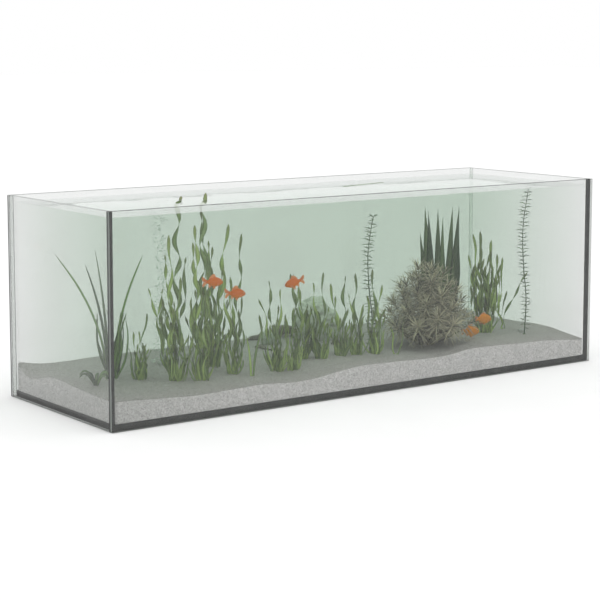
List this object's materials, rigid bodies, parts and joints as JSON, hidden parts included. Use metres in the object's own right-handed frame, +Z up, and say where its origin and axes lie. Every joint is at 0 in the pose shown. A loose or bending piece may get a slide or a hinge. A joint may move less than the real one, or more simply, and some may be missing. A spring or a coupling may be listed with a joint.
{
  "type": "glass aquarium tank",
  "caption": "Rimless rectangular glass aquarium with black silicone joints, open on top, set up with a sand bed, ribbon-leaved and bushy plants, rocks, driftwood and small goldfish.",
  "frame": {"origin": "on the floor under the middle of the tank", "axes": "+X along the tank's length to the right, +Z up, the front pane faces -Y"},
  "size_m": [1.5, 0.5, 0.5],
  "materials": {
    "glass": "polished",
    "silicone": "satin",
    "sand": "matte",
    "rock": "matte",
    "driftwood": "matte",
    "ribbon_leaf": "satin",
    "dark_leaf": "satin",
    "bush_leaf": "matte",
    "goldfish_skin": "gloss",
    "air_stone": "matte"
  },
  "bodies": {
    "root": {"air_stone_left": "air_stone", "air_stone_right": "air_stone", "back_pane": "glass", "bottom_pane": "glass", "bush_plant": "bush_leaf", "driftwood_branch": "driftwood", "driftwood_chip": "driftwood", "driftwood_twig": "driftwood", "front_pane": "glass", "grass_plant": "ribbon_leaf", "large_rock": "rock", "left_pane": "glass", "ribbon_plant_back_left": "ribbon_leaf", "ribbon_plant_centre": "ribbon_leaf", "ribbon_plant_centre_left": "ribbon_leaf", "ribbon_plant_far_right": "ribbon_leaf", "ribbon_plant_front_left": "ribbon_leaf", "ribbon_plant_leaning": "ribbon_leaf", "ribbon_plant_mid_left": "ribbon_leaf", "ribbon_plant_mid_right": "ribbon_leaf", "ribbon_plant_right_1": "ribbon_leaf", "ribbon_plant_right_2": "ribbon_leaf", "ribbon_plant_right_3": "ribbon_leaf", "ribbon_plant_short": "ribbon_leaf", "ribbon_plant_small_left": "ribbon_leaf", "ribbon_plant_tall_left": "ribbon_leaf", "ribbon_plant_tall_right": "ribbon_leaf", "ribbon_seedling": "ribbon_leaf", "right_pane": "glass", "seam_back_left": "silicone", "seam_back_right": "silicone", "seam_bottom_back": "silicone", "seam_bottom_front": "silicone", "seam_bottom_left": "silicone", "seam_bottom_right": "silicone", "seam_front_left": "silicone", "seam_front_right": "silicone", "small_rock": "rock", "sprout_plant": "ribbon_leaf", "substrate": "sand", "sword_plant": "dark_leaf", "whorled_stem_left": "dark_leaf", "whorled_stem_right": "dark_leaf"},
    "goldfish_1": {"goldfish_1": "goldfish_skin"},
    "goldfish_2": {"goldfish_2": "goldfish_skin"},
    "goldfish_3": {"goldfish_3": "goldfish_skin"},
    "goldfish_4": {"goldfish_4": "goldfish_skin"},
    "goldfish_5": {"goldfish_5": "goldfish_skin"}
  },
  "joints": [
    {"name": "goldfish_1_swim", "type": "slide", "parent": "root", "child": "goldfish_1", "axis": [0.9781, -0.2079, 0], "range_m": [-0.04, 0.04]},
    {"name": "goldfish_2_swim", "type": "slide", "parent": "root", "child": "goldfish_2", "axis": [0.9703, -0.2419, 0], "range_m": [-0.03, 0.04]},
    {"name": "goldfish_3_swim", "type": "slide", "parent": "root", "child": "goldfish_3", "axis": [-0.9781, 0.2079, 0], "range_m": [-0.04, 0.04]},
    {"name": "goldfish_4_swim", "type": "slide", "parent": "root", "child": "goldfish_4", "axis": [0.9848, -0.1736, 0], "range_m": [0, 0.05]},
    {"name": "goldfish_5_swim", "type": "slide", "parent": "root", "child": "goldfish_5", "axis": [1, 0, 0], "range_m": [-0.03, 0.03]}
  ]
}
